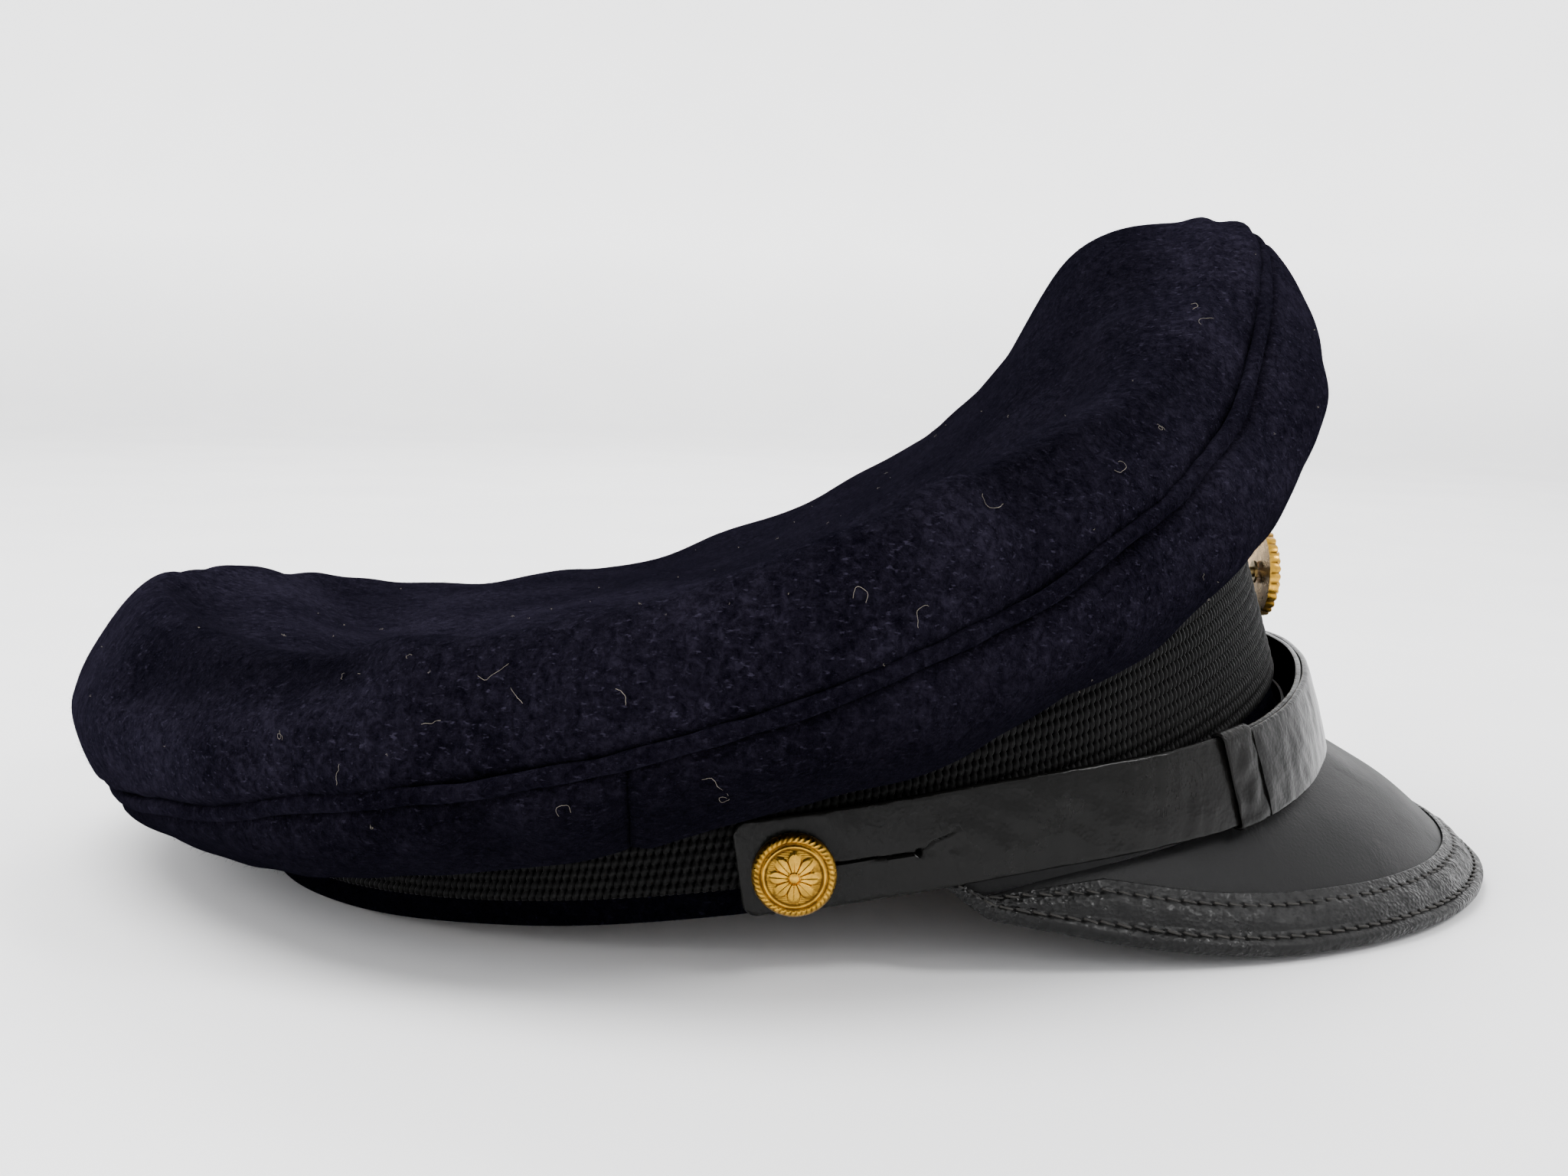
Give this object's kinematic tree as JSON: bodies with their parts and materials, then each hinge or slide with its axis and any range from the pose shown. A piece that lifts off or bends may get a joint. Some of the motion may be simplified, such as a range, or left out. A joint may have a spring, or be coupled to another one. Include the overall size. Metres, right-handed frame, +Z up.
{
  "type": "military peaked cap",
  "caption": "Soft peaked service cap with a saddle-shaped felt crown, ribbed braid band, bound leather visor, chin strap on two domed side buttons and a fluted front badge.",
  "frame": {"origin": "middle of the cap's box in plan, on the table it lies on", "axes": "+Z up from the table, the visor points along -Y, and the wearer's right is towards -X"},
  "size_m": [0.2366, 0.2938, 0.1339],
  "materials": {
    "felt": "napped navy blue wool felt",
    "braid": "black ribbed mohair braid",
    "patent": "black patent leather, glossy and crazed",
    "visor_leather": "black satin leather with a bound edge",
    "sweat_leather": "brown smooth leather",
    "gilt": "gilt brass, slightly tarnished",
    "brass": "plain brass",
    "steel": "spring steel",
    "buckram": "stiffened buckram and board",
    "wadding": "cotton wadding",
    "satin": "dark satin lining",
    "film": "clear yellowed celluloid film"
  },
  "bodies": {
    "cap": {"badge_boss": "gilt", "badge_nut": "brass", "badge_plate": "gilt", "badge_post": "brass", "badge_washer": "brass", "band_cloth": "felt", "band_stiffener": "buckram", "braid_band": "braid", "crown_quarter_front_left": "felt", "crown_quarter_front_right": "felt", "crown_quarter_rear_left": "felt", "crown_quarter_rear_right": "felt", "crown_top_panel": "felt", "crown_welt": "felt", "front_pad": "wadding", "front_stay": "steel", "hoop_ferrule": "steel", "hoop_wire": "steel", "lining_side": "satin", "lining_top": "satin", "rim_padding": "wadding", "sweat_shield": "film", "sweatband": "sweat_leather", "sweatband_bow": "satin", "sweatband_reed": "sweat_leather", "visor_binding": "visor_leather", "visor_core": "buckram", "visor_cover": "visor_leather", "visor_lining": "sweat_leather"},
    "chin_strap": {"chin_strap_right": "patent", "chin_strap_left": "patent", "keeper_right": "patent", "keeper_left": "patent"},
    "button_right": {"button_right_shell": "gilt", "button_right_back": "gilt", "button_right_shank": "steel", "button_right_split_ring": "steel"},
    "button_left": {"button_left_shell": "gilt", "button_left_back": "gilt", "button_left_shank": "steel", "button_left_split_ring": "steel"}
  },
  "joints": [
    {"name": "chin_strap_lift", "type": "hinge", "parent": "cap", "child": "chin_strap", "pos_m": [0, 0, 0.0182], "axis": [-1, 0, 0], "range_deg": [0, 2.5]},
    {"name": "button_right_spin", "type": "hinge", "parent": "cap", "child": "button_right", "pos_m": [-0.0925, 0, 0.0182], "axis": [-1, 0, 0], "continuous": true},
    {"name": "button_left_spin", "type": "hinge", "parent": "cap", "child": "button_left", "pos_m": [0.0925, 0, 0.0182], "axis": [1, 0, 0], "continuous": true}
  ]
}
